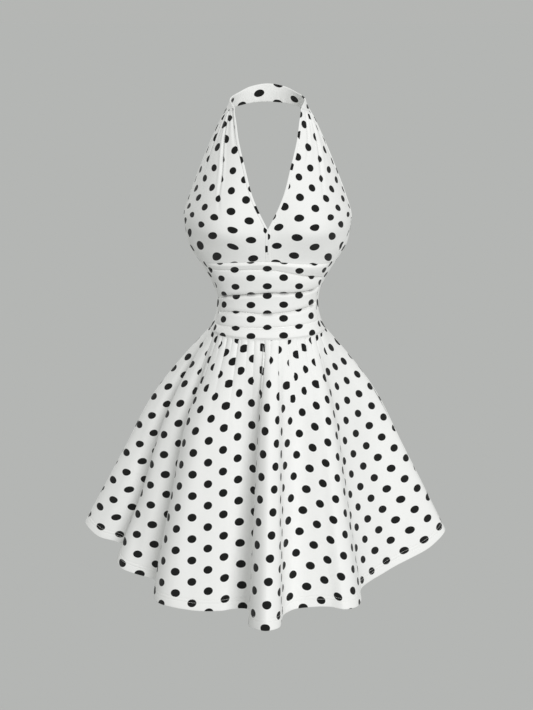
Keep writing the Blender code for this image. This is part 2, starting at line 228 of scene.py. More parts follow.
def cloth_shell(name, points, cut, finish, thickness=CLOTH):
    """A closed thin shell from a grid of outer points in millimetres and their places on the flat cut in metres."""
    rows, columns = points.shape[:2]
    normal = outward(points)
    thickness = np.broadcast_to(thickness, (rows, columns))[..., None]
    inside = points - normal * thickness
    rim = rim_of(rows, columns)
    j, i = rim.T
    inner_j, inner_i = np.clip(j, 1, rows - 2), np.clip(i, 1, columns - 2)
    away = points[j, i] - points[inner_j, inner_i]
    away /= np.maximum(np.linalg.norm(away, axis=-1, keepdims=True), TINY)
    middle = (points[j, i] + inside[j, i]) / 2 + away * thickness[j, i] * RIM_ROUNDNESS
    sheet = rows * columns
    index = np.arange(sheet).reshape(rows, columns)
    quads = np.stack([index[:-1, :-1], index[1:, :-1], index[1:, 1:], index[:-1, 1:]], axis=-1).reshape(-1, 4)
    outer_rim = index[j, i]
    inner_rim = outer_rim + sheet
    middle_rim = 2 * sheet + np.arange(len(rim))

    def band(a, b):
        return np.stack([a, np.roll(a, -1), np.roll(b, -1), b], axis=-1)

    faces = np.concatenate([quads, quads[:, ::-1] + sheet, band(outer_rim, middle_rim), band(middle_rim, inner_rim)])
    mesh = bpy.data.meshes.new(name)
    vertices = np.concatenate([points.reshape(-1, 3), inside.reshape(-1, 3), middle]) * MM
    mesh.from_pydata(vertices.tolist(), [], faces.tolist())
    flat = cut.reshape(-1, 2)
    flat = np.concatenate([flat, flat, cut[j, i]])
    layer = mesh.uv_layers.new(name="flat_cut")
    layer.data.foreach_set("uv", flat[faces.reshape(-1)].reshape(-1))
    for material in finish:
        mesh.materials.append(material)
    mesh.polygons.foreach_set("material_index", np.repeat([0, 1, 0], [len(quads), len(quads), 2 * len(rim)]))
    mesh.shade_smooth()
    mesh.validate()
    piece = bpy.data.objects.new(name, mesh)
    bpy.context.scene.collection.objects.link(piece)
    print(f"{name}: {rows} x {columns} points, {len(faces) * 2} triangles")
    return piece


# %% [markdown]
# ## Materials: printed cotton-elastane jersey
# The cloth is single jersey: fine loops of cotton with a little elastane, knitted in a tube, bleached and printed
# with pigment ink. To the eye it is soft, matt and bright, with a faint bloom of fibre ends on slopes that turn away,
# and with charcoal dots that stop at a crisp edge. One small helper adds a node and links it, and one function turns
# the sRGB colours of a swatch into the linear values that light is worked out in.

# %% Colours and nodes
def srgb(code):
    """A hex colour, as read off a swatch, as linear red, green, blue and alpha."""
    parts = [int(code[k:k + 2], 16) / 255 for k in (1, 3, 5)]
    return tuple(c / 12.92 if c <= 0.04045 else ((c + 0.055) / 1.055) ** 2.4 for c in parts) + (1.0,)


def node(tree, kind, settings=None, sockets=None):
    """Adds a node, sets its properties, and sets or links its sockets."""
    made = tree.nodes.new(kind)
    for name, value in (settings or {}).items():
        setattr(made, name, value)
    for name, value in (sockets or {}).items():
        if isinstance(value, bpy.types.NodeSocket):
            tree.links.new(value, made.inputs[name])
        else:
            made.inputs[name].default_value = value
    return made


print("a mid grey swatch in linear light:", round(srgb("#808080")[0], 3))

# %% [markdown]
# The print is a half-drop repeat: oval dots, 15 mm wide and 12.2 mm high, in upright lines 27 mm apart, 33 mm from
# dot to dot down a line, and each second line dropped by half. A painted picture of dots would blur close up. Here two
# grids of distances, one for each set of lines, give how far each point of the flat cut is from the nearest dot, so the
# edge of the ink stays crisp at any distance.

# %% The print
DOT_WIDTH = 15.0
DOT_HEIGHT = 12.2
LINE_SPACING = 27.0
DOT_SPACING = 33.0
INK_EDGE = 0.04


def printed_dots(tree, flat):
    """The print's ink: 1 on a dot and 0 on the ground."""
    half_cell = (LINE_SPACING * MM, DOT_SPACING / 2 * MM, 1.0)
    dot_scale = (2 / (DOT_WIDTH * MM), 2 / (DOT_HEIGHT * MM), 0.0)
    distances = []
    for offset in ((0.0, 0.0, 0.0), half_cell):
        moved = node(tree, "ShaderNodeVectorMath", {"operation": "ADD"}, {0: flat, 1: offset})
        cell = node(tree, "ShaderNodeVectorMath", {"operation": "WRAP"},
                    {0: moved.outputs[0], 1: half_cell, 2: [-x for x in half_cell]})
        level = node(tree, "ShaderNodeVectorMath", {"operation": "MULTIPLY"}, {0: cell.outputs[0], 1: dot_scale})
        distances.append(node(tree, "ShaderNodeVectorMath", {"operation": "LENGTH"}, {0: level.outputs[0]}))
    nearest = node(tree, "ShaderNodeMath", {"operation": "MINIMUM"},
                   {0: distances[0].outputs["Value"], 1: distances[1].outputs["Value"]})
    dot = node(tree, "ShaderNodeMapRange", {"interpolation_type": "SMOOTHSTEP"},
               {"Value": nearest.outputs[0], "From Min": 1 - INK_EDGE, "From Max": 1 + INK_EDGE,
                "To Min": 1.0, "To Max": 0.0})
    return dot.outputs[0]


print("dots per square metre:", round(1e6 / (LINE_SPACING * DOT_SPACING)))

# %% [markdown]
# The knit's own loops are about 0.5 mm wide, too fine to show from 2 m, so they are drawn 1.1 mm wide. Tufts of fibre
# shade the ground a little, and slack patches of the knit lift it a little, so it isn't as even as plastic.

# %% The knit
LOOP_WIDTH = 1.1
LOOP_HEIGHT = 0.9
LOOP_BALANCE = (0.6, 0.4, 0)
LOOP_RELIEF = 0.06
TUFT_SIZE = 1.11
TUFT_SHADE = "#8F9190"
TUFT_SHADE_MOST = 0.035
SLACK_PATCH = 26.3
SLACK_RELIEF = 0.5


def tufted_ground(tree, flat, ground):
    """The ground's colour with its tufts of fibre."""
    tufts = node(tree, "ShaderNodeTexNoise", {"noise_dimensions": "2D"},
                 {"Vector": flat, "Scale": 1 / (TUFT_SIZE * MM), "Detail": 2.0, "Roughness": 0.6})
    shade = node(tree, "ShaderNodeMapRange", None,
                 {"Value": tufts.outputs[0], "From Min": 0.3, "From Max": 0.7, "To Max": TUFT_SHADE_MOST})
    uneven = node(tree, "ShaderNodeMix", {"data_type": "RGBA"},
                  {0: shade.outputs[0], 6: srgb(ground), 7: srgb(TUFT_SHADE)})
    return uneven.outputs[2]


def knit_relief(tree, flat):
    """Normals of the knit: its loops, and over them its slack patches."""
    turns = (2 * math.pi / (LOOP_WIDTH * MM), 2 * math.pi / (LOOP_HEIGHT * MM), 0)
    loops = node(tree, "ShaderNodeVectorMath", {"operation": "MULTIPLY"}, {0: flat, 1: turns})
    waves = node(tree, "ShaderNodeVectorMath", {"operation": "SINE"}, {0: loops.outputs[0]})
    knit = node(tree, "ShaderNodeVectorMath", {"operation": "DOT_PRODUCT"}, {0: waves.outputs[0], 1: LOOP_BALANCE})
    relief = node(tree, "ShaderNodeBump", None,
                  {"Height": knit.outputs["Value"], "Distance": LOOP_RELIEF * MM, "Strength": 0.5})
    slack = node(tree, "ShaderNodeTexNoise", {"noise_dimensions": "2D"},
                 {"Vector": flat, "Scale": 1 / (SLACK_PATCH * MM), "Detail": 2.0, "Roughness": 0.5})
    soft = node(tree, "ShaderNodeBump", None,
                {"Height": slack.outputs[0], "Distance": SLACK_RELIEF * MM, "Strength": 0.6,
                 "Normal": relief.outputs[0]})
    return soft.outputs[0]


print("loops drawn on each dot's width:", round(DOT_WIDTH / LOOP_WIDTH))

# %% [markdown]
# Cotton scatters light at every fibre, so the jersey is rough, reflects weakly, and has a faint sheen. The same
# material is made twice: with charcoal ink for the right side, and for the wrong side with the pale grey of ink that
# only shines through.

# %% Jersey
def jersey(name, ground, ink):
    """Printed single jersey: ground and ink are its two colours."""
    material = bpy.data.materials.new(name)
    material.use_nodes = True
    tree = material.node_tree
    shader = tree.nodes["Principled BSDF"]
    flat = node(tree, "ShaderNodeUVMap", {"uv_map": "flat_cut"}).outputs["UV"]
    colour = node(tree, "ShaderNodeMix", {"data_type": "RGBA"},
                  {0: printed_dots(tree, flat), 6: tufted_ground(tree, flat, ground), 7: srgb(ink)})
    tree.links.new(colour.outputs[2], shader.inputs["Base Color"])
    tree.links.new(knit_relief(tree, flat), shader.inputs["Normal"])
    shader.inputs["Roughness"].default_value = 0.88
    shader.inputs["IOR"].default_value = 1.47
    shader.inputs["Specular IOR Level"].default_value = 0.25
    shader.inputs["Sheen Weight"].default_value = 0.12
    shader.inputs["Sheen Roughness"].default_value = 0.5
    return material


right_side = jersey("printed_jersey_right_side", "#F4F4F3", "#131413")
wrong_side = jersey("printed_jersey_wrong_side", "#EFF0EE", "#B9BAB9")
print("jersey:", right_side.name, "and", wrong_side.name)

# %% [markdown]
# ## Neck band
# The band is one strip, folded lengthwise with its right side out and sewn to the top of one strap, round the nape,
# to the other. So it is thicker than one layer, has a soft fold along its top, and shows the print on both faces. The
# strip is pulled a little longer than it was cut, which draws its dots wider, and its sewn edge puckers slightly.

# %% Neck band
BAND = table(
    "share upper_angle upper_height lower_angle lower_height",
    (0.00, 52, -14, 80, -22),
    (0.15, 70, -7, 94, -22.5),
    (0.35, 95, -3, 115, -20),
    (0.60, 127, 3, 140, -16),
    (0.80, 153, 11.5, 160, -13),
    (1.00, 180, 15.5, 180, -12),
)
BAND_THICKNESS = 1.9
BAND_STRETCH = 1.15
BAND_SQUEEZE = 1.08
BAND_LINE_AT = (17.0, -2.2)
BAND_SKEW = 4.5
BAND_SKEW_BETWEEN = (20, 45)
PUCKER_HEIGHT = 0.35
PUCKER_REACH = 0.35
PUCKER_TURNS = 95
PUCKER_DRIFT = 31


def band_edge(name, round_neck):
    """A column of the band's table, read right round the neck from one strap to the other."""
    turned = 360 - BAND[name] if name.endswith("angle") else BAND[name]
    shares = np.concatenate([BAND["share"] / 2, 1 - BAND["share"][-2::-1] / 2])
    return smooth(shares, np.concatenate([BAND[name], turned[-2::-1]]), round_neck)


def neck_band():
    round_neck, down = np.meshgrid(np.linspace(0, 1, 200), np.linspace(0, 1, 20))
    angle = mix(band_edge("upper_angle", round_neck), band_edge("lower_angle", round_neck), down)
    height = mix(band_edge("upper_height", round_neck), band_edge("lower_height", round_neck), down)
    wave = np.sin(round_neck * PUCKER_TURNS + 2 * np.sin(round_neck * PUCKER_DRIFT))
    puckers = PUCKER_HEIGHT * bump(down - 1, PUCKER_REACH) * wave
    points = form_point(angle, height, puckers)
    along = lengths(points, 1)
    along = along[:, -1:] / 2 - along
    below = lengths(points, 0)
    x0, y0 = BAND_LINE_AT
    y0 = y0 - BAND_SKEW * ease(-along, *BAND_SKEW_BETWEEN)
    cut = np.stack([(along - x0) / BAND_STRETCH, (below - y0) * BAND_SQUEEZE], axis=-1) * MM
    return cloth_shell("neck_band_strip", points, cut, [right_side, right_side], BAND_THICKNESS)


neck_band_strip = neck_band()

# %% [markdown]
# ## Cups
# Each cup is cut in one with its strap: a triangle, wide at the bust, drawn together into the band at the top. Its
# neck edge and its armhole edge are turned under and stitched flat, which makes a raised strip 5 mm wide with a fine
# groove beside it. The gathers under the band run down the strap as soft creases and open out over the bust. The cups
# end on the seam under the bust, which is the first of six lines across the front. The others are the midriff's four
# creases and the waist seam, and each has its heights at five angles.

# %% Where a cup lies
LINE_ANGLES = (-75, -37, 0, 37, 75)
LINE_HEIGHTS = (
    (-254, -244, -240, -246, -252),
    (-262, -256, -253.5, -265, -279),
    (-309, -298, -292, -293, -291),
    (-333, -325, -326, -322, -316),
    (-352, -349, -347, -346, -345),
    (-365.5, -365.5, -365.5, -365.5, -365.5),
)
SIDE_HEIGHTS = (-366, -306, -250, -185)
SIDE_ANGLES = (74, 70.5, 65, 84)
ARMHOLE_CORNER = -185.0
V_POINT = -188.0
V_SHARE = 0.76
CUP_EDGES = table(
    "down inner_angle inner_height outer_angle outer_height",
    (0.00, 52, -14, 80, -22),
    (0.09, 42.5, -32, 84, -38),
    (0.20, 33.5, -61, 84.5, -68),
    (0.34, 23.5, -96, 84, -105),
    (0.52, 13.5, -139, 85.5, -150),
    (0.66, 6, -167, 85.5, -172),
    (0.76, 0, -188, 84, -185),
)
CUP_LEVELS = (0, 0.1, 0.2, 0.3, 0.4, 0.5, 0.6, 0.7, V_SHARE, 0.85, 1)


def side_seam(height):
    return smooth(SIDE_HEIGHTS, SIDE_ANGLES, height)


def line_height(line, angle):
    return smooth(LINE_ANGLES, LINE_HEIGHTS[line], angle)


def under_bust_corner(side):
    """Angle and height where the side seam meets the seam under the bust."""
    angle = side_seam(ARMHOLE_CORNER)
    for _ in range(5):
        height = line_height(0, side * angle)
        angle = side_seam(height)
    return angle, height


def cup_at(side, share, down):
    """Angle and height on a cup, at a share of the way from its inner to its outer edge."""
    inner_angle, inner_height, outer_angle, outer_height = (
        smooth(CUP_EDGES["down"], CUP_EDGES[name], np.minimum(down, V_SHARE))
        for name in ("inner_angle", "inner_height", "outer_angle", "outer_height"))
    below = np.clip((down - V_SHARE) / (1 - V_SHARE), 0, 1)
    corner_angle, corner_height = under_bust_corner(side)
    lower_angle = share * side_seam(mix(ARMHOLE_CORNER, corner_height, below))
    lower_height = mix(mix(V_POINT, ARMHOLE_CORNER, share), line_height(0, side * share * corner_angle), below)
    above = down <= V_SHARE
    return (np.where(above, mix(inner_angle, outer_angle, share), lower_angle),
            np.where(above, mix(inner_height, outer_height, share), lower_height))


def row_widths(levels):
    """How wide a cup's rows are over the dress form, in millimetres."""
    share, down = np.meshgrid(np.linspace(0, 1, 41), levels)
    return lengths(form_point(*cup_at(1, share, down)), 1)[:, -1]


CUP_WIDTHS = row_widths(CUP_LEVELS)
print("seam under the bust meets the side seam at angle %.0f, height %.0f" % under_bust_corner(1))
print(f"a cup is {CUP_WIDTHS[0]:.0f} mm wide under the band and {CUP_WIDTHS.max():.0f} mm at the point of the V")

# %% [markdown]
# The creases are listed one by one. Each has a line from its place under the band to its lower end, a width, and a
# depth that fades along it, with a low ridge on both sides. On the cup at -X one sharp crease hides a strip of the
# cloth, so
# it cuts through the dots.

# %% Creases of the straps
CUP_CREASES = table(
    "side share_top share_low down_low half_width depth hidden",
    (-1, 0.38, 0.37, 0.62, 0.030, 2.6, 6),
    (-1, 0.68, 0.74, 0.38, 0.045, 1.9, 5),
    (-1, 0.14, 0.10, 0.26, 0.040, 1.4, 2),
    (-1, 0.56, 0.60, 0.22, 0.035, 1.1, 0),
    (1, 0.62, 0.44, 0.58, 0.045, 2.0, 2),
    (1, 0.34, 0.24, 0.38, 0.045, 1.6, 0),
    (1, 0.84, 0.78, 0.30, 0.040, 1.5, 3),
    (1, 0.47, 0.36, 0.22, 0.030, 1.1, 0),
)
CREASE_BEGINS = 0.05
CREASE_ENDS = (0.35, 1.15)
CREASE_NARROWS = 0.45
RIDGE_SHARE = 0.35


def crease_place(crease, down):
    """The share across the cup where a crease lies, row by row."""
    return mix(crease["share_top"], crease["share_low"], np.clip(down / crease["down_low"], 0, 1))


def creases_of(rows, side):
    return [dict(zip(rows, values)) for values in zip(*rows.values()) if values[0] == side]


def creases_relief(side, share, down):
    """Height of a cup's creases under the band, and of the ridges beside them."""
    relief = 0.0
    for crease in creases_of(CUP_CREASES, side):
        fade = ease(down, 0.0, CREASE_BEGINS) * (1 - ease(down, *(end * crease["down_low"] for end in CREASE_ENDS)))
        width = crease["half_width"] * mix(1.0, CREASE_NARROWS, np.clip(down / 0.5, 0, 1))
        distance = share - crease_place(crease, down)
        ridges = RIDGE_SHARE * bump(np.abs(distance) - 2.2 * width, 1.2 * width)
        relief = relief + crease["depth"] * fade * (ridges - bump(distance, width))
    return relief


print("creases on each strap:", len(creases_of(CUP_CREASES, -1)), "and", len(creases_of(CUP_CREASES, 1)))

# %% [markdown]
# A turned edge is two layers thick as far as its stitching, which pulls a groove into the cloth. Under the point of
# the V the two cups are joined by a seam instead, which shows as a weaker strip.

# %% Turned edges
EDGE_STRIP = 5.0
EDGE_HEIGHT = 0.7
GROOVE_DEPTH = 0.35
GROOVE_HALF_WIDTH = 0.7
SEAM_STRENGTH = 0.6


def turned_edge(from_edge):
    """Height of a turned and stitched edge over the plain cloth, by the distance from the edge."""
    strip = EDGE_HEIGHT * (1 - ease(from_edge, EDGE_STRIP - 0.9, EDGE_STRIP - 0.1))
    return strip - GROOVE_DEPTH * bump(from_edge - EDGE_STRIP, GROOVE_HALF_WIDTH)


def cup_relief(side, share, down, from_inner, from_outer):
    """Height of the cloth over the dress form: creases under the band, and the turned edges."""
    above = 1 - ease(down, V_SHARE - 0.01, V_SHARE + 0.01)
    edges = mix(SEAM_STRENGTH, 1.0, above) * turned_edge(from_inner) + above * turned_edge(from_outer)
    return creases_relief(side, share, down) + edges


print("turned edge stands up by", turned_edge(EDGE_STRIP / 2).round(2), "mm, groove", turned_edge(EDGE_STRIP).round(2))

# %% [markdown]
# The print tells how the cloth runs. Its lines follow the grain, which leans with the strap, and the cloth is
# stretched sideways by a seventh over the bust and drawn together towards the band. Two short tables give where the
# first line of dots lies on each row of the cup and how far apart the lines are. The two cups were cut from different
# places on the cloth, so a few offsets move the print on the cup at -X.

# %% The cut of a cup
GRAIN = table(
    "down first_line spacing",
    (0, -10, 13), (0.12, -8, 19), (0.3, 9, 21), (0.476, 23.5, 21), (0.52, 27, 23), (0.611, 35, 24.5), (0.668, 40, 27),
    (0.75, 45.5, 28), (0.814, 48, 30), (0.874, 47, 31), (0.939, 45, 31), (1, 45, 31),
)
CLOTH_DOWN = table("down depth", (0, 0), (0.3, 79), (0.52, 139), (0.67, 170), (0.81, 201), (0.94, 233), (1, 248))
ROWS_AS_WORN = 31.5
FIRST_DOT_DOWN = 170.0 + ROWS_AS_WORN
TURNED_UNDER = 9.0
OUTER_DROP = 7.0
MOVED_OUT = 7.0
MOVED_OUT_LOW = 4.0
MOVED_UP = 14.0
MOVED_UP_INSIDE = 7.0
MOVED_UP_LOW = 3.0


def cup_cut(side, share, down, from_inner, from_outer):
    first = smooth(GRAIN["down"], GRAIN["first_line"], down)
    spacing = smooth(GRAIN["down"], GRAIN["spacing"], down)
    depth = smooth(CLOTH_DOWN["down"], CLOTH_DOWN["depth"], down) - OUTER_DROP * share ** 2
    if side < 0:
        first = first + MOVED_OUT + MOVED_OUT_LOW * ease(down, 0.6, 0.8)
        depth = depth - MOVED_UP - MOVED_UP_INSIDE * (1 - ease(share, 0.25, 0.45)) - MOVED_UP_LOW * ease(down, 0.85, 1)
    in_strip = (from_inner < EDGE_STRIP - 0.3) * TURNED_UNDER - (from_outer < EDGE_STRIP - 0.3) * TURNED_UNDER
    along = from_inner - in_strip
    for crease in creases_of(CUP_CREASES, side):
        fade = 1 - ease(down, 0.7 * crease["down_low"], crease["down_low"])
        along = along + crease["hidden"] * fade * (share > crease_place(crease, down))
    across = LINE_SPACING * (along - first) / spacing
    return np.stack([across, (FIRST_DOT_DOWN - depth) * DOT_SPACING / ROWS_AS_WORN], axis=-1) * MM


print("lines of dots as worn:", GRAIN["spacing"][0], "mm apart under the band,", GRAIN["spacing"][-1], "over the bust")

# %% [markdown]
# The grid's columns stand close together over the turned edges, where the relief is sharp, and evenly between them.

# %% Cup shells
EDGE_COLUMNS = np.array([0, 1.2, 2.6, 3.8, 4.4, 4.8, 5.2, 5.8, 6.8])
CUP_COLUMNS = 96
ROWS_ABOVE_V = 124
ROWS_BELOW_V = 40


def cup(name, side):
    middle = np.linspace(0, 1, CUP_COLUMNS)[1:-1]
    above = V_SHARE * np.linspace(0, 1, ROWS_ABOVE_V) ** 0.9
    down = np.concatenate([above, np.linspace(V_SHARE, 1, ROWS_BELOW_V)[1:]])[:, None]
    width = smooth(CUP_LEVELS, CUP_WIDTHS, down)
    inner_part = np.broadcast_to(EDGE_COLUMNS, (len(down), len(EDGE_COLUMNS)))
    middle_part = mix(EDGE_COLUMNS[-1], width - EDGE_COLUMNS[-1], middle)
    from_inner = np.concatenate([inner_part, middle_part, width - inner_part[:, ::-1]], axis=1)
    from_outer = width - from_inner
    share = from_inner / width
    down = np.broadcast_to(down, share.shape)
    angle, height = cup_at(side, share, down)
    points = form_point(side * angle, height, cup_relief(side, share, down, from_inner, from_outer))
    cut = cup_cut(side, share, down, from_inner, from_outer)
    if side < 0:
        points, cut = points[:, ::-1], cut[:, ::-1]
    return cloth_shell(name, points, cut, [right_side, wrong_side])


cup_left_cloth = cup("cup_left_cloth", 1)
cup_right_cloth = cup("cup_right_cloth", -1)

# %% [markdown]
# ## Midriff
# The front of the midriff is a panel sewn short on purpose, so that it gathers into soft rolls between the side seams,
# with four cross creases between them. The creases run unevenly, so each line says how strongly it cuts in, and how
# much cloth it hides, at the left, in the middle and at the right. Each roll hangs a little over the crease below it,
# the cloth is tucked in under it as a narrow dark slit, and the crease swallows some of the print.

# %% Midriff
LINE_DOWNS = (0.00, 0.14, 0.44, 0.69, 0.86, 1.00)
LINE_CUTS = ((1, 1, 1), (0.5, 0.6, 1), (0.9, 1, 1), (0.6, 0.75, 1), (0.4, 0.55, 0.3), (1, 1, 1))
LINE_HIDDEN = ((0, 0, 0), (0, 0, 5), (10.5, 10.5, 10.5), (4.5, 5.2, 6), (1.5, 1.7, 1.5), (0, 0, 0))
LINE_ABOVE = (3.0, 7.0, 3.5, 3.8, 4.0, 3.0)
LINE_BELOW = (3.0, 8.0, 3.0, 3.5, 4.0, 3.0)
ROLL = 4.8
OVERHANG = 1.4
OVERHANG_AT = 2.5
TUCK = 6.0
TUCK_HALF_WIDTH = 1.5
MIDRIFF_STRETCH = 0.945
MIDRIFF_SQUEEZE = 1.12
MIDRIFF_ORIGIN = (0.75, 19.5)
MIDRIFF_COLUMNS = 121
MIDRIFF_ROWS = 210


def midriff():
    spread, down = np.meshgrid(np.linspace(-1, 1, MIDRIFF_COLUMNS), np.linspace(0, 1, MIDRIFF_ROWS))
    angle = spread * side_seam(WAIST_SEAM)
    for _ in range(5):
        heights = [line_height(line, angle) for line in range(len(LINE_DOWNS))]
        height = np.empty_like(down)
        for j in range(down.shape[0]):
            row = np.array([line[j] for line in heights])
            height[j] = [smooth(LINE_DOWNS, row[:, i], down[j, i]) for i in range(down.shape[1])]
        angle = spread * side_seam(height)
    free = 1 - np.abs(spread) ** 8
    lift = ROLL * free
    swallowed, droop, tuck = (np.zeros_like(down) for _ in range(3))
    lines = list(zip(heights, LINE_CUTS, LINE_HIDDEN, LINE_ABOVE, LINE_BELOW))
    for line, (line_at, cuts, hidden, above_it, below_it) in enumerate(lines):
        cut_here = smooth((-1, 0, 1), cuts, spread)
        below = line_at - height
        lift = lift * (1 - cut_here * np.where(below > 0, bump(below, below_it), bump(below, above_it)))
        swallowed += smooth((-1, 0, 1), hidden, spread) * ease(below, -0.6, 0.6)
        if 0 < line < len(lines) - 1:
            droop += OVERHANG * cut_here * bump(below + OVERHANG_AT, OVERHANG_AT)
            tuck += TUCK * cut_here ** 1.5 * bump(below, TUCK_HALF_WIDTH)
    depth = lengths(form_point(angle, height, lift), 0) * MIDRIFF_SQUEEZE + swallowed
    points = form_point(angle, height - droop * free, lift - tuck * free)
    across = lengths(points, 1)
    across = across - across[:, [MIDRIFF_COLUMNS // 2]]
    cut = (np.stack([across / MIDRIFF_STRETCH, depth], axis=-1) + MIDRIFF_ORIGIN) * MM
    return cloth_shell("midriff_ruched_cloth", points, cut, [right_side, wrong_side])


midriff_ruched_cloth = midriff()

# %% [markdown]
# ## Low back
# The back of the bodice is one plain panel, held up by its stretch, which draws its dots a little larger. Its top edge
# is turned and stitched like the neck edges, and a few soft drag lines run in from the side seams, as they do on any
# close-fitting jersey.

# %% Bodice back
BACK_STRETCH = 1.05
BACK_COLUMNS = 150
BACK_ROWS = 110
BACK_TOP = table("angle height", (84, -185), (110, -207), (145, -230), (180, -238))
BACK_DRAGS = table(
    "angle_a height_a angle_b height_b half_width depth",
    (75, -262, 150, -252, 5, 0.9),
    (75, -300, 165, -285, 6, 1.1),
    (78, -335, 160, -318, 5, 1.0),
    (285, -258, 214, -268, 5, 0.9),
    (285, -305, 190, -300, 6, 1.1),
    (282, -338, 205, -330, 5, 1.0),
)


def bodice_back():
    round_back, down = np.meshgrid(np.linspace(0, 1, BACK_COLUMNS), np.linspace(0, 1, BACK_ROWS) ** 1.1)
    side_angle = side_seam(ARMHOLE_CORNER) * np.ones_like(down)
    for _ in range(5):
        angle = mix(side_angle, 360 - side_angle, round_back)
        from_front = np.maximum(180 - np.abs(angle - 180), BACK_TOP["angle"][0])
        top = smooth(BACK_TOP["angle"], BACK_TOP["height"], from_front)
        height = mix(top, WAIST_SEAM, down)
        side_angle = side_seam(height)
    relief = np.zeros_like(down)
    for a, ha, b, hb, half_width, depth in zip(*BACK_DRAGS.values()):
        along = (angle - a) / (b - a)
        fade = ease(along, -0.05, 0.25) * (1 - ease(along, 0.5, 1.0))
        relief -= depth * fade * bump(height - mix(ha, hb, along), half_width)
    points = form_point(angle, height, relief + turned_edge(top - height))
    across = lengths(points, 1)
    depth = lengths(points, 0) + ARMHOLE_CORNER - top
    cut = np.stack([across - across[:, -1:] / 2, depth], axis=-1) / BACK_STRETCH * MM
    return cloth_shell("bodice_back_cloth", points, cut, [right_side, wrong_side])


bodice_back_cloth = bodice_back()

# %% [markdown]
# ## Skirt: the large folds
# Front and back are two flared panels, cut as sectors of a ring. The hem is far longer than the way round the body of
# the skirt, so it falls into large rounded folds. A table gives each fold line from the waist seam to the hem, and the
# cloth runs smoothly from line to line.

# %% Skirt folds
FRONT_FOLDS = table(
    "waist_angle across back drop",
    (-92, -318, 70, 369), (-88, -294, 44, 383), (-84, -256, 29, 389), (-81, -238, 13, 394), (-79, -255, -3, 402),
    (-77, -248, -24, 410), (-74, -228, -38, 414), (-69, -187, -50, 420), (-66, -172, -64, 421),
    (-63, -183, -88, 425), (-60, -176, -116, 427), (-53, -153, -140, 424), (-44, -120, -154, 424),
    (-30, -74, -160, 422), (-14, -32, -162, 418), (-8, -22, -176, 417), (-5, -31, -207, 420), (-2, -22, -238, 411),
    (3, -3, -256, 406), (9, 18, -241, 409), (14, 25, -206, 414), (18, 32, -177, 420), (24, 53, -164, 418),
    (33, 76, -158, 416), (43, 100, -162, 414), (50, 120, -170, 414), (54, 138, -158, 417), (57, 150, -126, 422),
    (60, 154, -80, 422), (64, 174, -47, 423), (71, 205, -20, 419), (80, 246, 6, 409), (86, 282, 25, 393),
    (92, 308, 56, 377),
)
BACK_FOLDS = table(
    "waist_angle across back drop",
    (97, 297, 88, 380), (104, 262, 100, 398), (110, 222, 98, 416), (116, 196, 112, 422), (123, 204, 150, 423),
    (131, 198, 186, 414), (139, 168, 204, 413), (146, 136, 190, 423), (152, 108, 168, 428), (158, 88, 178, 426),
    (165, 82, 216, 418), (173, 58, 248, 411), (181, 22, 252, 413), (188, 0, 222, 421), (194, -24, 186, 427),
    (201, -52, 178, 427), (208, -78, 202, 421), (215, -108, 226, 413), (223, -142, 218, 412), (230, -160, 182, 422),
    (236, -172, 142, 427), (242, -198, 122, 424), (249, -238, 134, 405), (256, -282, 128, 387), (262, -308, 104, 375),
)
FOLDS = {name: np.concatenate([FRONT_FOLDS[name], BACK_FOLDS[name]]) for name in FRONT_FOLDS}
FLARE_DOWN = (0.0, 0.14, 0.33, 0.60, 1.0)
FLARE_SHARE = (0.0, 0.20, 0.43, 0.66, 1.0)

hem_steps = np.hypot(*(np.diff(FOLDS[name], append=FOLDS[name][0]) for name in ("across", "back")))
FOLD_PLACES = np.concatenate([[0], np.cumsum(hem_steps)]) / hem_steps.sum()
FRONT_SHARE = FOLD_PLACES[len(FRONT_FOLDS["drop"]) - 1]


def fold_at(name, place):
    """A column of the folds' tables at shares of the way round the hem."""
    turn = 360 if name == "waist_angle" else 0
    values = FOLDS[name]
    knots = np.concatenate([FOLD_PLACES[:-1] - 1, FOLD_PLACES[:-1], FOLD_PLACES + 1])
    return smooth(knots, np.concatenate([values - turn, values, values + turn, [values[0] + 2 * turn]]), place)


def skirt_base(place, down):
    """The skirt without its gathers, one row for each share down and one column for each place round the hem."""
    down = np.asarray(down)[:, None]
    waist = form_point(fold_at("waist_angle", place), WAIST_SEAM)
    flare = smooth(FLARE_DOWN, FLARE_SHARE, down)
    across = mix(waist[:, 0], fold_at("across", place), flare)
    back = mix(waist[:, 1], fold_at("back", place), flare)
    return np.stack([across, back, WAIST_SEAM - fold_at("drop", place) * down], axis=-1)


print(f"hem all round {hem_steps.sum():.0f} mm, front share {FRONT_SHARE:.3f}")

# %% [markdown]
# ## Skirt: the gathers
# The cut's top edge is twice as long as the waist seam it is sewn to, so a gathering thread draws it up into small
# uneven pleats. Each has a table row: where it lies along the seam, how far down it runs, and how deep it cuts. Short
# shallow ones lie between long deep ones. Each is a sharp valley in a softer, wider one. The cloth between two of them
# stays unstretched and keeps its dots, and the rest of the print goes into the creases.

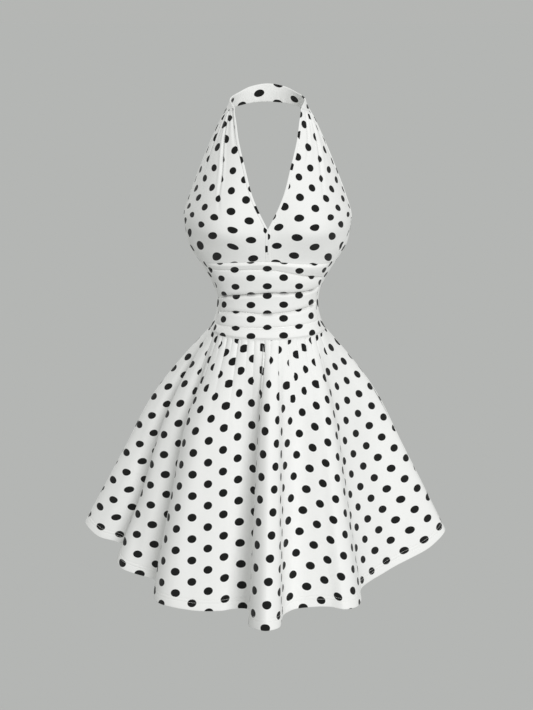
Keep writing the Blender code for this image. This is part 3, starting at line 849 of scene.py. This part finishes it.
# %% Gathers
FRONT_GATHERS = table(
    "across length depth",
    (-86.5, 60, 3.0), (-80.3, 85, 3.8), (-72.5, 34, 2.4), (-65, 80, 4.2), (-56.2, 30, 2.2), (-47.7, 120, 5.2),
    (-42.6, 26, 2.0), (-32, 52, 3.4), (-21.5, 90, 3.8), (-12, 24, 2.0), (-5.4, 110, 5.6), (4.6, 32, 2.2),
    (17.5, 62, 3.2), (32, 105, 4.2), (37.8, 22, 1.8), (46.5, 45, 2.6), (52.2, 28, 2.0), (60.4, 90, 4.4),
    (68.7, 40, 2.6), (77, 80, 3.8), (84.2, 45, 2.8),
)
BACK_GATHERS = table(
    "across length depth",
    (-86, 60, 3.1), (-79, 85, 4.0), (-70.5, 30, 2.2), (-61, 100, 4.6), (-54, 28, 2.2), (-44.5, 50, 3.0),
    (-36, 110, 5.0), (-27, 32, 2.4), (-17.5, 60, 3.4), (-8, 95, 4.6), (2.5, 24, 2.0), (9, 70, 3.8), (20, 34, 2.6),
    (31, 105, 4.9), (38, 28, 2.2), (48, 75, 3.8), (57.5, 36, 2.6), (66, 90, 4.4), (73, 30, 2.2), (81, 65, 3.6),
    (87, 40, 2.6),
)
CREASE_WIDTH_AT_WAIST = 1.9
CREASE_WIDENS = 0.055
SHARP_SHARE = 0.55
SHARP_REACH = 0.7
SOFT_SHARE = 0.35
SOFT_REACH = 3.6


def crease_depth(depth, length, below_seam):
    """How deep a gather cuts, by the distance below the waist seam: nothing at the seam, most just under it."""
    return depth * ease(below_seam, -3.0, 5.0) * np.exp(-((below_seam / length) ** 1.6))


def gather_relief(points, gathers, places, columns):
    """Height of the gathered cloth over the skirt's folds, and how strongly each crease cuts in, row by row."""
    along = lengths(points, 1)
    below_seam = lengths(points, 0)[:, :1]
    relief = np.zeros(along.shape)
    strengths = []
    for place, length, depth in zip(places, gathers["length"], gathers["depth"]):
        at = np.array([np.interp(place, columns, row) for row in along])[:, None]
        width = CREASE_WIDTH_AT_WAIST * (0.4 + 0.15 * depth) + CREASE_WIDENS * below_seam
        cut = crease_depth(depth, length, below_seam)
        distance = np.abs(along - at)
        sharp = SHARP_SHARE * np.exp(-distance / (SHARP_REACH * width))
        relief -= cut * (sharp + SOFT_SHARE * bump(distance, SOFT_REACH * width))
        strengths.append(ease(cut / depth, 0.02, 0.5)[:, 0])
    return relief, strengths


print("gathers:", len(FRONT_GATHERS["across"]), "in front,", len(BACK_GATHERS["across"]), "behind")

# %% [markdown]
# ## Skirt: the drapes
# Between its large folds the jersey sags into broad soft troughs and swells into ridges, a few millimetres deep. They
# run from under the gathers to the hem and catch the light as wide bands. Each has a table row: its panel (1 in
# front, -1 behind), where it lies at the top and at the hem, the shares of the way down between which it shows, its
# half width and its depth, which is negative for a ridge.

# %% Drapes
DRAPES = table(
    "panel across_top across_low down_top down_low half_width depth",
    (1, 52, 46, 0.10, 1.30, 19, 12.0),
    (1, -34, -52, 0.04, 1.20, 18, 6.5),
    (1, -82, -168, 0.14, 1.20, 25, -8.0),
    (1, 138, 229, 0.20, 1.30, 32, 6.0),
    (1, -196, -222, 0.40, 1.20, 16, 3.0),
    (-1, 70, 84, 0.12, 1.20, 22, 5.0),
    (-1, -30, -52, 0.08, 1.10, 20, 4.0),
    (-1, -120, -180, 0.20, 1.20, 26, -4.0),
    (-1, 150, 228, 0.25, 1.20, 30, 4.0),
)
DRAPE_COMES_IN = 0.25
DRAPE_GOES_OUT = 0.35


def drape_relief(points, down, panel):
    """Height of a panel's drapes over the skirt's folds."""
    relief = 0.0
    for side, top, low, down_top, down_low, half_width, depth in zip(*DRAPES.values()):
        if side == panel:
            fade = ease(down, down_top, down_top + DRAPE_COMES_IN)
            fade = fade * (1 - ease(down, down_low - DRAPE_GOES_OUT, down_low))
            relief = relief - depth * fade * bump(points[..., 0] - mix(top, low, down), half_width)
    return relief


print("drapes:", len(DRAPES["panel"]))

# %% [markdown]
# ## Skirt: the cut and the print
# A flared panel is a sector of a ring. Each row of the skirt is an arc of that sector, and the print's lines run
# straight across the arcs, tilted by the small angle at which the panel lay on the cloth. That is why the dots sit
# upright in the middle of the front and lean outwards to both sides. In front the cloth is drawn wider towards the side
# seams, but not at the seams themselves, and it is a little slack on the middle fold. The back is cut evenly.

# %% The cut of a skirt panel
CUT_SLANT = 411.0
CUT_WAIST_RADIUS = 454.0
CUT_HALF_HEM = 550.0
SIDE_STRETCH = 0.135
STRETCH_ENDS = (0.88, 0.97)
MIDDLE_FOLD_SLACK = 16.0
MIDDLE_FOLD_AT = 0.115
MIDDLE_FOLD_REACH = 0.16
GRAIN_TILT = math.radians(-2.6)
CUT_ORIGIN = (15.8, 4.0)

ways = np.linspace(-1, 1, 801)
stretched = 5 * SIDE_STRETCH * ways ** 4 * (1 - ease(np.abs(ways), *STRETCH_ENDS))
front_arcs = np.cumsum(1 - stretched) * (ways[1] - ways[0])
front_arcs = CUT_HALF_HEM * (front_arcs - front_arcs[len(ways) // 2])


def sector_cut(points, down, crease_columns, strengths, drawn_to_sides):
    """Where the rows of a skirt panel lie on the flat cloth, in millimetres."""
    along = lengths(points, 1)
    radius = CUT_WAIST_RADIUS + CUT_SLANT * down
    hem_radius = CUT_WAIST_RADIUS + CUT_SLANT
    way = 2 * along / along[:, -1:] - 1
    if drawn_to_sides:
        slack = MIDDLE_FOLD_SLACK * bump(way - MIDDLE_FOLD_AT, MIDDLE_FOLD_REACH)
        hem_arc = np.interp(way, ways, front_arcs) - slack
    else:
        hem_arc = way * front_arcs[-1]
    flat = hem_arc * radius[:, None] / hem_radius
    bounds = [0] + list(crease_columns) + [points.shape[1] - 1]
    strength = [np.zeros(len(down))] + strengths + [np.zeros(len(down))]
    for k, (a, b) in enumerate(zip(bounds, bounds[1:])):
        first = a + 1 if k else a
        width = along[:, b] - along[:, first]
        ratio = (flat[:, b] - flat[:, first]) / width
        hold = np.maximum(strength[k], strength[k + 1])
        scale = mix(ratio, np.minimum(ratio, 1.0), hold)[:, None]
        centre = (along[:, first] + along[:, b])[:, None] / 2
        middle = (flat[:, first] + flat[:, b])[:, None] / 2
        flat[:, first:b + 1] = middle + scale * (along[:, first:b + 1] - centre)
    turn = flat / radius[:, None]
    across, depth = radius[:, None] * np.sin(turn), hem_radius - radius[:, None] * np.cos(turn)
    cosine, sine = math.cos(GRAIN_TILT), math.sin(GRAIN_TILT)
    x0, y0 = CUT_ORIGIN
    return np.stack([cosine * across + sine * depth - x0, cosine * depth - sine * across - y0], axis=-1)


print(f"hem of each panel's cut: {2 * front_arcs[-1]:.0f} mm")

# %% [markdown]
# ## Skirt: the panels
# The hem is turned up once, 16 mm deep, and held by a twin needle: so its last strip is two layers thick, and shows
# two rows of stitches with a faint ridge between them. The grid's rows crowd towards the waist, where the gathers are
# sharp, and across the stitched hem. Each crease gets two columns close together in its valley, so that the print can
# jump there as the hidden cloth does, and one more on each side.

# %% Grid of a skirt panel
SLANT = 425.0
EVEN_COLUMNS = 231
BESIDE_CREASE = 0.3
AT_CREASE = 0.05
CLEAR_OF_CREASE = 0.45
EVEN_ROWS = 104
CROWD_TO_WAIST = 1.45
HEM_ROWS = np.array([0, 1.5, 4, 7, 9.5, 11, 11.6, 12, 12.4, 13.2, 14.5, 15.8, 16.6, 17, 17.4, 18.4, 20])


def panel_columns(start, end, gathers, sign):
    """Columns of a panel's grid, the gathers in their order along it, and their places."""
    even = np.linspace(start, end, EVEN_COLUMNS)
    step = even[1] - even[0]
    seam_across = form_point(fold_at("waist_angle", even), WAIST_SEAM)[:, 0]
    places = np.interp(sign * gathers["across"], sign * seam_across, even)
    order = np.argsort(places)
    places = places[order]
    plain = [p for p in even if np.abs(places - p).min() > CLEAR_OF_CREASE * step]
    near = [places + k * step for k in (-BESIDE_CREASE, -AT_CREASE, AT_CREASE, BESIDE_CREASE)]
    return np.sort(np.concatenate([plain, *near])), {key: values[order] for key, values in gathers.items()}, places


def panel_rows():
    """Rows of a panel's grid, as shares of the way down from the waist seam to the hem."""
    down = np.sort(np.concatenate([np.linspace(0, 1, EVEN_ROWS)[:-5] ** CROWD_TO_WAIST, 1 - HEM_ROWS / SLANT]))
    return down[np.concatenate([[True], np.diff(down) > 0.0005])]


print("rows of a panel:", len(panel_rows()))

# %% Skirt panels
HEM_TURN = 16.0
NEEDLE_ROWS = (12.0, 17.0)
NEEDLE_GROOVE = 0.35
RIDGE_BETWEEN = 0.15


def hem_relief(from_hem):
    """Height of the stitched hem: a groove under each row of stitches and a faint ridge between the two."""
    grooves = sum(bump(from_hem - row, 0.8) for row in NEEDLE_ROWS)
    return RIDGE_BETWEEN * bump(from_hem - sum(NEEDLE_ROWS) / 2, 1.6) - NEEDLE_GROOVE * grooves


def skirt_panel(name, start, end, gathers, sign):
    """A panel of the skirt between two places round the hem; sign is 1 in front and -1 behind."""
    columns, gathers, places = panel_columns(start, end, gathers, sign)
    down = panel_rows()
    base = skirt_base(columns, down)
    relief, strengths = gather_relief(base, gathers, places, columns)
    from_hem = (1 - down)[:, None] * SLANT
    relief += drape_relief(base, down[:, None], sign) + hem_relief(from_hem)
    lifted = base + outward(base) * relief[..., None]
    crease_columns = np.searchsorted(columns, places) - 1
    cut = sector_cut(base, down, crease_columns, strengths, drawn_to_sides=sign > 0)
    thickness = CLOTH * (2 - ease(from_hem, HEM_TURN - 0.8, HEM_TURN + 0.4))
    panel = cloth_shell(name, lifted, cut * MM, [right_side, wrong_side], thickness)
    return panel, lifted, from_hem[:, 0]


skirt_front_cloth, front_points, front_rows = skirt_panel("skirt_front_cloth", 0.0, FRONT_SHARE, FRONT_GATHERS, 1)
skirt_back_cloth, back_points, back_rows = skirt_panel("skirt_back_cloth", FRONT_SHARE, 1.0, BACK_GATHERS, -1)

# %% [markdown]
# ## Hem stitches
# A stitch is a short piece of thread that dips into the cloth at both ends. Each one here is a small four-sided bar
# through three rings, thick in the middle. They are 2.6 mm long and start 3.2 mm apart, and all the stitches of a panel
# are one mesh. The thread is mercerised cotton, a little brighter and smoother than the jersey, so that it catches the
# light.

# %% Stitches
STITCH_LENGTH = 2.6
STITCH_PITCH = 3.2
THREAD = 0.55
THREAD_LIES = 0.12
AHEAD = 0.5
RINGS = ((0.0, 0.35), (0.5, 1.0), (1.0, 0.35))
CORNERS = np.radians((45, 135, 225, 315))


def cotton_thread():
    material = bpy.data.materials.new("mercerised_thread")
    material.use_nodes = True
    shader = material.node_tree.nodes["Principled BSDF"]
    shader.inputs["Base Color"].default_value = srgb("#F2F2EF")
    shader.inputs["Roughness"].default_value = 0.6
    shader.inputs["IOR"].default_value = 1.53
    shader.inputs["Sheen Weight"].default_value = 0.2
    return material


thread = cotton_thread()


def along_line(at, along, values):
    """Points or directions of a grid's row at lengths along it."""
    return np.stack([np.interp(at, along, values[:, k]) for k in range(3)], axis=-1)


def hem_stitches(name, points, rows):
    """Two rows of stitches along a panel's hem, lying on its outer sheet."""
    normal = outward(points)
    vertices, faces, made = [], [], 0
    for row in NEEDLE_ROWS:
        j = int(np.argmin(np.abs(rows - row)))
        along = lengths(points[j:j + 1], 1)[0]
        starts = np.arange(STITCH_PITCH, along[-1] - STITCH_PITCH, STITCH_PITCH)
        for offset, size in RINGS:
            at = starts + offset * STITCH_LENGTH
            centre = along_line(at, along, points[j])
            out = along_line(at, along, normal[j])
            side = np.cross(out, along_line(at + AHEAD, along, points[j]) - centre)
            side /= np.linalg.norm(side, axis=-1, keepdims=True)
            radius = THREAD / 2 * size
            for turn in CORNERS:
                up = THREAD_LIES * size + radius * math.sin(turn)
                vertices.append(centre + out * up + side * radius * math.cos(turn))
        count = len(starts)
        ring = made + np.arange(12).reshape(3, 4)[..., None] * count + np.arange(count)
        made += 12 * count
        for a, b in ((0, 1), (1, 2)):
            for k in range(4):
                m = (k + 1) % 4
                faces.append(np.stack([ring[a, k], ring[b, k], ring[b, m], ring[a, m]], axis=-1))
        faces.append(np.stack([ring[0, k] for k in range(4)], axis=-1))
        faces.append(np.stack([ring[2, k] for k in (3, 2, 1, 0)], axis=-1))
    mesh = bpy.data.meshes.new(name)
    mesh.from_pydata((np.concatenate(vertices) * MM).tolist(), [], np.concatenate(faces).tolist())
    mesh.materials.append(thread)
    mesh.shade_smooth()
    mesh.validate()
    piece = bpy.data.objects.new(name, mesh)
    bpy.context.scene.collection.objects.link(piece)
    print(f"{name}: {len(mesh.polygons) // 10} stitches")
    return piece


front_hem_stitches = hem_stitches("front_hem_stitches", front_points, front_rows)
back_hem_stitches = hem_stitches("back_hem_stitches", back_points, back_rows)

# %% [markdown]
# ## Bindings
# Every piece rides with the dress and stands in for its plain wall. The table also gives what each sheet was cut to
# before it was sewn: the size of the rectangle it came from, and its own area.

# %% What each piece is
CUTS = (  # piece, node, how it is held, flat size and area of what shows, what it rests on, what is sewn on it
    (neck_band_strip, "neck_band", "stretched", (0.225, 0.028), 0.0063, ["cup_left_cloth", "cup_right_cloth"], []),
    (cup_left_cloth, "cup_left", "gathered", (0.205, 0.262), 0.033, ["neck_band_strip", "midriff_ruched_cloth"], []),
    (cup_right_cloth, "cup_right", "gathered", (0.205, 0.262), 0.033, ["neck_band_strip", "midriff_ruched_cloth"], []),
    (midriff_ruched_cloth, "midriff_front", "gathered", (0.245, 0.163), 0.037, ["bodice_back_cloth"], []),
    (bodice_back_cloth, "bodice_back", "stretched", (0.37, 0.185), 0.0525, ["midriff_ruched_cloth"], []),
    (skirt_front_cloth, "skirt_front", "draped", (0.945, 0.485), 0.313, ["midriff_ruched_cloth"], [front_hem_stitches]),
    (skirt_back_cloth, "skirt_back", "draped", (0.945, 0.485), 0.313, ["bodice_back_cloth"], [back_hem_stitches]),
)
for piece, node_name, held, size, area, rests_on, with_pieces in CUTS:
    for part in [piece] + with_pieces:
        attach(part, "root")
        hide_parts(node_name)
print("pieces bound:", len(CUTS))

# %% [markdown]
# ## Stage and light
# The picture has an even mid-grey ground with no shadow on it, and very soft light. A weak glow from every side fills
# the folds. One broad key from the front, above and to the right, leaves the flanks that face left in half shade, and
# a weaker one behind does the same for the back. The floor is matt backdrop paper, which gives no glare. It is wide
# and far below, so shadows fall out of the picture. The paper and the glow have the same faint green tint, and the
# glow is as bright as the lit paper, so the horizon doesn't show.

# %% Stage
FLOOR_LEVEL = -12.0
FLOOR_HALF = 600.0
PAPER = "#C1C2C1"
GLOW = 0.468
GLOW_TINT = "#FDFFFC"
KEY_ANGLE_DEG = 24.0


def studio_floor():
    mesh = bpy.data.meshes.new("studio_floor")
    corners = [(x * FLOOR_HALF, y * FLOOR_HALF, FLOOR_LEVEL) for x, y in ((-1, -1), (1, -1), (1, 1), (-1, 1))]
    mesh.from_pydata(corners, [], [(0, 1, 2, 3)])
    material = bpy.data.materials.new("matt_backdrop_paper")
    material.use_nodes = True
    shader = material.node_tree.nodes["Principled BSDF"]
    shader.inputs["Base Color"].default_value = srgb(PAPER)
    shader.inputs["Roughness"].default_value = 1.0
    shader.inputs["Specular IOR Level"].default_value = 0.0
    mesh.materials.append(material)
    floor = bpy.data.objects.new("studio_floor", mesh)
    bpy.context.scene.collection.objects.link(floor)
    return floor


def soft_key(name, comes_from, strength):
    """A broad far light; comes_from points from the dress towards it, and strength is in watts a square metre."""
    data = bpy.data.lights.new(name, "SUN")
    data.angle = math.radians(KEY_ANGLE_DEG)
    data.energy = strength
    light = bpy.data.objects.new(name, data)
    x, y, z = np.array(comes_from) / np.linalg.norm(comes_from)
    light.rotation_euler = (math.acos(z), 0, math.atan2(y, x) + math.pi / 2)
    bpy.context.scene.collection.objects.link(light)


floor = studio_floor()
floor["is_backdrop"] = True
soft_key("key_from_the_front", (0.33, -0.85, 0.40), 1.75)
soft_key("key_from_the_back", (-0.35, 0.8, 0.5), 1.1)
world = bpy.data.worlds.new("studio")
bpy.context.scene.world = world
world.use_nodes = True
background = world.node_tree.nodes["Background"]
background.inputs["Color"].default_value = srgb(GLOW_TINT)
background.inputs["Strength"].default_value = GLOW
bpy.context.scene.view_settings.view_transform = "Standard"
print("lights:", ", ".join(light.name for light in bpy.data.lights))

# %% [markdown]
# ## Sizes and the end
# The boxes of the frame's solids and of the dressed model are both written down. The dressed model has to fill the
# same box as the frame's solids.

# %% Sizes
def plain(value):
    return float(value) if isinstance(value, (int, float)) else [plain(x) for x in value]


{"cad": plain(CAD_BOX), "visual": plain(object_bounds())}
print("frame box", plain(CAD_BOX))
print("dressed box", plain(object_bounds()))
